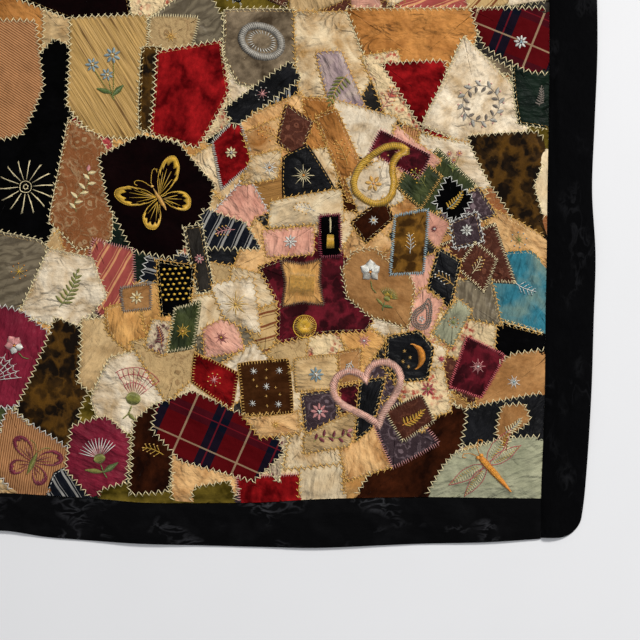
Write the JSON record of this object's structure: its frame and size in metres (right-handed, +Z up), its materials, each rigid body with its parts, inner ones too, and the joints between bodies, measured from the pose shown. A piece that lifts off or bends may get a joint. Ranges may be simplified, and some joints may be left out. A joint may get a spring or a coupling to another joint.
{
  "type": "crazy quilt",
  "caption": "Square crazy quilt lying flat: a patchwork top of irregular silk and velvet pieces, framed by wide black velvet border strips.",
  "frame": {"origin": "under the middle of the pieced top, on the flat underside that rests on the surface", "axes": "+X to the quilt's right-hand side and +Y to its upper edge as seen from above, +Z up out of the patchwork face"},
  "size_m": [1.2292, 1.223, 0.0061],
  "materials": {
    "patchwork": "mixed silk satin, velvet and brocade patches with embroidered seams",
    "black_velvet": "matt black velvet with a faint cool sheen along its creases"
  },
  "bodies": {
    "root": {"pieced_top": "patchwork", "border_right": "black_velvet", "border_left": "black_velvet", "border_lower": "black_velvet", "border_upper": "black_velvet"}
  },
  "joints": []
}
